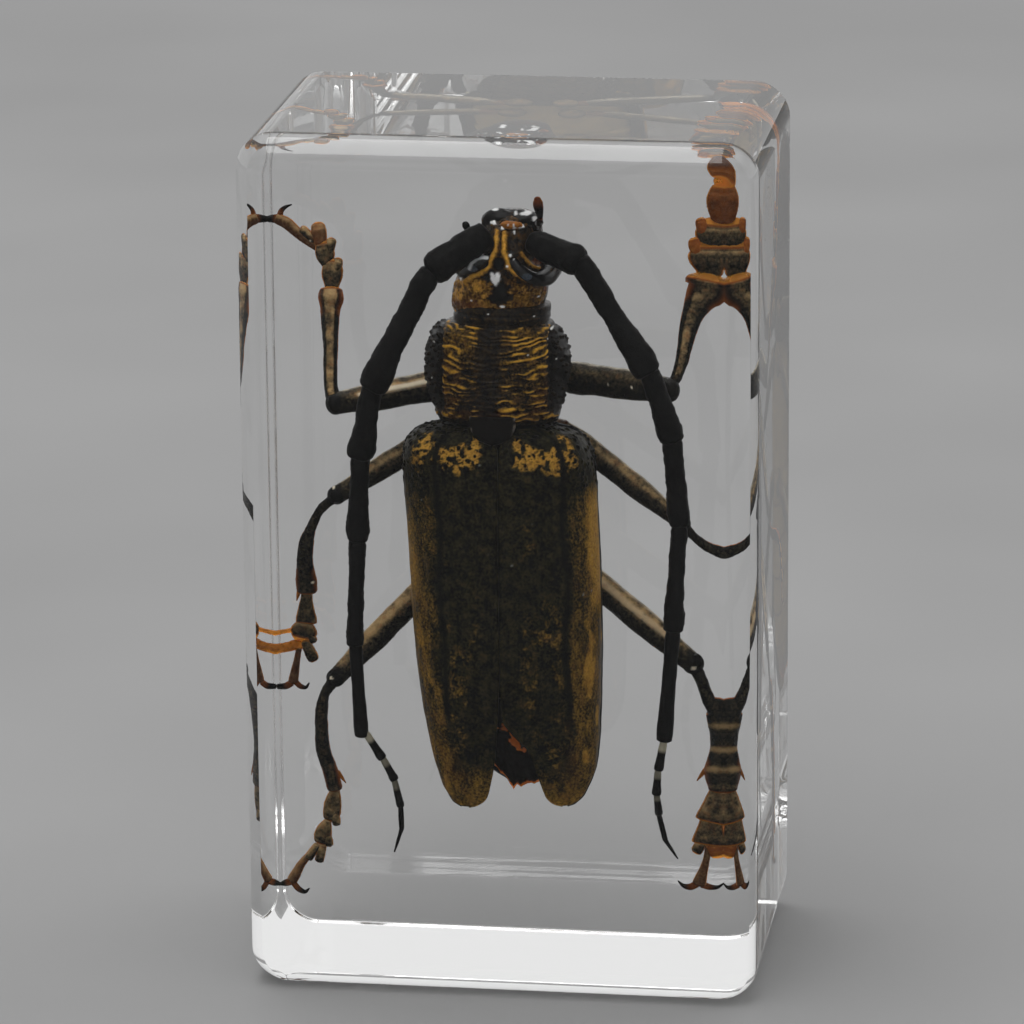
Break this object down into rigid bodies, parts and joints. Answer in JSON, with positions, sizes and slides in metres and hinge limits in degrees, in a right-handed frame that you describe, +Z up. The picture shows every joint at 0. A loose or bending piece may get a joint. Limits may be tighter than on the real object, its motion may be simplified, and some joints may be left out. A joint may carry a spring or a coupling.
{
  "type": "insect in resin block",
  "caption": "Long-horned beetle with its legs and feelers spread, cast in an upright clear resin block with rounded, polished edges.",
  "frame": {"origin": "middle of the block's underside, on the surface it stands on", "axes": "+Z up along the block's height and towards the beetle's head, +X to the right as one faces the beetle's back, +Y through the block's depth from the beetle's back to its belly"},
  "size_m": [0.0428, 0.0266, 0.073],
  "materials": {
    "clear_resin": "clear cast resin, polished",
    "golden_shell": "black-brown shell with golden down in its grooves",
    "belly_shell": "brown shell with thin grey-gold down",
    "wing_case": "black shell mottled with olive-gold down",
    "leg_shell": "olive-brown shell with pale down, orange at the feet",
    "feeler_shell": "dull black, pale at the joints of the whip"
  },
  "bodies": {
    "root": {"resin_front": "clear_resin", "resin_back": "clear_resin", "head": "golden_shell", "pronotum": "golden_shell", "hind_body": "belly_shell", "elytron_left": "wing_case", "elytron_right": "wing_case", "leg_front_left": "leg_shell", "leg_front_right": "leg_shell", "leg_middle_left": "leg_shell", "leg_middle_right": "leg_shell", "leg_hind_left": "leg_shell", "leg_hind_right": "leg_shell", "antenna_left": "feeler_shell", "antenna_right": "feeler_shell"}
  },
  "joints": []
}
